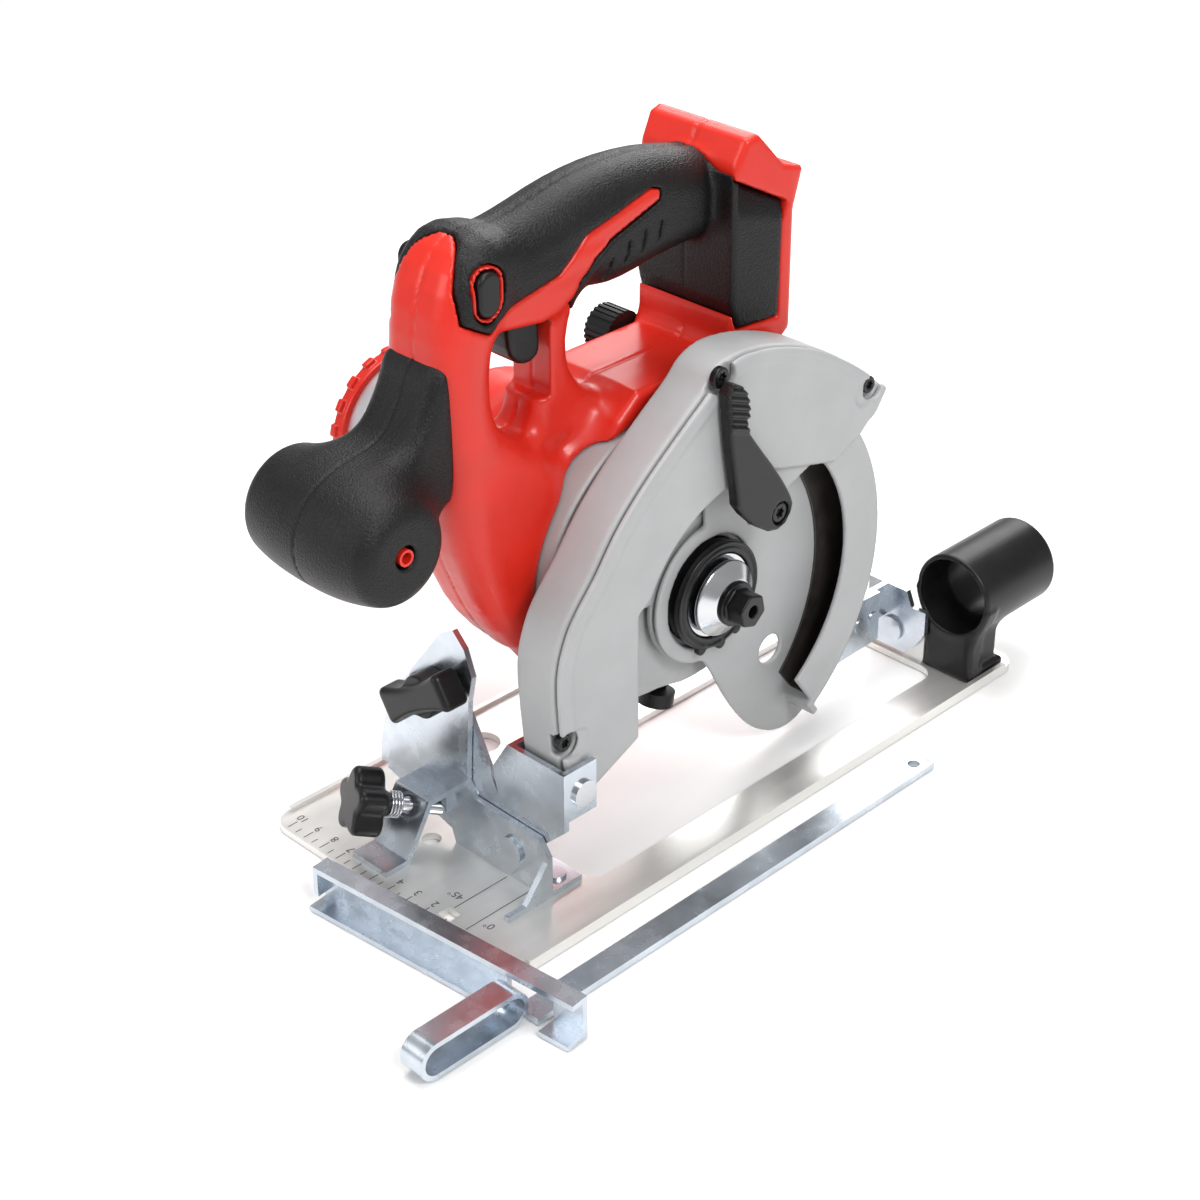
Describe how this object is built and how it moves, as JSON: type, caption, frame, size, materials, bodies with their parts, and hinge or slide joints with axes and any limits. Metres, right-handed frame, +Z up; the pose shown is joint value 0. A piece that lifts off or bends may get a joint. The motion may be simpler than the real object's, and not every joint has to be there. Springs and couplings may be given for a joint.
{
  "type": "circular saw",
  "caption": "Battery circular saw on a slotted shoe with tilting and depth brackets, sprung lower guard, closed rear handle, front handle bar and a loose edge guide beside it.",
  "frame": {"origin": "on the shoe's sole, on the cutting line, 20 mm behind the shoe's front edge", "axes": "+X to the rear of the saw, -Y the blade side, +Y the motor side, +Z up"},
  "size_m": [0.39, 0.2319, 0.2695],
  "materials": {
    "shoe_alloy": "satin",
    "black_steel": "satin",
    "zinc_steel": "satin",
    "black_plastic": "matte",
    "soft_grip": "matte",
    "red_plastic": "satin",
    "contact_metal": "satin",
    "guard_alloy": "satin"
  },
  "bodies": {
    "shoe": {"shoe_plate": "shoe_alloy", "base_bracket": "zinc_steel", "base_rivets": "zinc_steel", "bevel_pins": "zinc_steel", "bevel_bolt": "zinc_steel", "fence_clamp_bracket": "zinc_steel", "fence_clamp_spring": "zinc_steel", "dust_port": "black_plastic", "dust_port_screw": "zinc_steel"},
    "carriage": {"front_tilt_bracket": "zinc_steel", "rear_tilt_bracket": "zinc_steel", "depth_arc": "zinc_steel", "arc_rivets": "zinc_steel", "depth_pivot_pin": "zinc_steel"},
    "saw": {"upper_guard": "guard_alloy", "guard_cover": "guard_alloy", "cover_screws": "zinc_steel", "hub_collar": "black_steel", "hub_circlip": "black_steel", "gear_case": "guard_alloy", "spindle_bearing": "zinc_steel", "motor_bearings": "zinc_steel", "motor_can": "zinc_steel", "motor_magnets": "black_plastic", "brush_holders": "zinc_steel", "motor_end_cap": "red_plastic", "housing_left": "red_plastic", "housing_right": "red_plastic", "grip_left": "soft_grip", "grip_right": "soft_grip", "front_knob_left": "soft_grip", "front_knob_right": "soft_grip", "knob_socket": "red_plastic", "handle_screws": "zinc_steel", "battery_terminals": "contact_metal", "battery_rails": "black_plastic", "trigger_switch": "black_plastic", "depth_bolt": "zinc_steel"},
    "lower_guard": {"lower_guard": "guard_alloy", "guard_lever": "black_plastic", "lever_screw": "zinc_steel"},
    "spindle": {"arbor": "zinc_steel", "spindle_gear": "zinc_steel", "inner_flange": "zinc_steel", "outer_flange": "zinc_steel", "blade_bolt": "zinc_steel"},
    "rotor": {"armature": "zinc_steel", "pinion": "zinc_steel", "cooling_fan": "black_plastic"},
    "trigger": {"trigger": "black_plastic"},
    "lock_off": {"lock_off_button": "black_plastic"},
    "spindle_lock": {"spindle_lock": "zinc_steel"},
    "depth_knob": {"depth_lock_knob": "black_plastic"},
    "bevel_knob": {"bevel_lock_knob": "black_plastic"},
    "fence_screw": {"fence_clamp_knob": "black_plastic", "fence_clamp_screw": "zinc_steel"},
    "edge_guide": {"guide_bar": "zinc_steel", "guide_fence": "zinc_steel", "guide_arm": "zinc_steel", "guide_rivets": "zinc_steel"}
  },
  "joints": [
    {"name": "bevel_tilt", "type": "hinge", "parent": "shoe", "child": "carriage", "pos_m": [0, 0.011, 0.0165], "axis": [1, 0, 0], "range_deg": [0, 45]},
    {"name": "depth_swing", "type": "hinge", "parent": "carriage", "child": "saw", "pos_m": [0.035, 0, 0.05], "axis": [0, 1, 0], "range_deg": [0, 32.5]},
    {"name": "guard_swing", "type": "hinge", "parent": "saw", "child": "lower_guard", "pos_m": [0.127, 0, 0.091], "axis": [0, -1, 0], "range_deg": [0, 70], "stiffness_Nm_per_rad": 0.2, "springref_deg": -40.11},
    {"name": "spindle_spin", "type": "hinge", "parent": "saw", "child": "spindle", "pos_m": [0.127, 0, 0.091], "axis": [0, 1, 0], "continuous": true},
    {"name": "rotor_spin", "type": "hinge", "parent": "saw", "child": "rotor", "pos_m": [0.095, 0, 0.125], "axis": [0, 1, 0], "continuous": true},
    {"name": "trigger_pull", "type": "slide", "parent": "saw", "child": "trigger", "axis": [0, 0, 1], "range_m": [0, 0.006], "stiffness_N_per_m": 300, "springref_m": -0.003},
    {"name": "lock_off_push", "type": "slide", "parent": "saw", "child": "lock_off", "axis": [0, 1, 0], "range_m": [-0.003, 0.003], "stiffness_N_per_m": 300},
    {"name": "spindle_lock_press", "type": "slide", "parent": "saw", "child": "spindle_lock", "axis": [0.2216, 0, 0.9751], "range_m": [0, 0.003], "stiffness_N_per_m": 300, "springref_m": -0.003},
    {"name": "depth_knob_turn", "type": "hinge", "parent": "saw", "child": "depth_knob", "pos_m": [0.13947, 0.068, 0.17901], "axis": [0, 1, 0], "range_deg": [-90, 90]},
    {"name": "bevel_knob_turn", "type": "hinge", "parent": "shoe", "child": "bevel_knob", "pos_m": [0.014, 0.051, 0.073], "axis": [1, 0, 0], "range_deg": [-45, 60]},
    {"name": "fence_screw_turn", "type": "hinge", "parent": "shoe", "child": "fence_screw", "pos_m": [0.009, 0.0556, 0.0218], "axis": [0.8558, -0.4109, -0.3142], "range_deg": [-180, 180]},
    {"name": "guide_slide", "type": "slide", "parent": "shoe", "child": "edge_guide", "axis": [-1, 0, 0], "range_m": [0, 0.1]}
  ],
  "couplings": [
    {"joint": "rotor_spin", "follows": "spindle_spin", "ratio": -5}
  ]
}
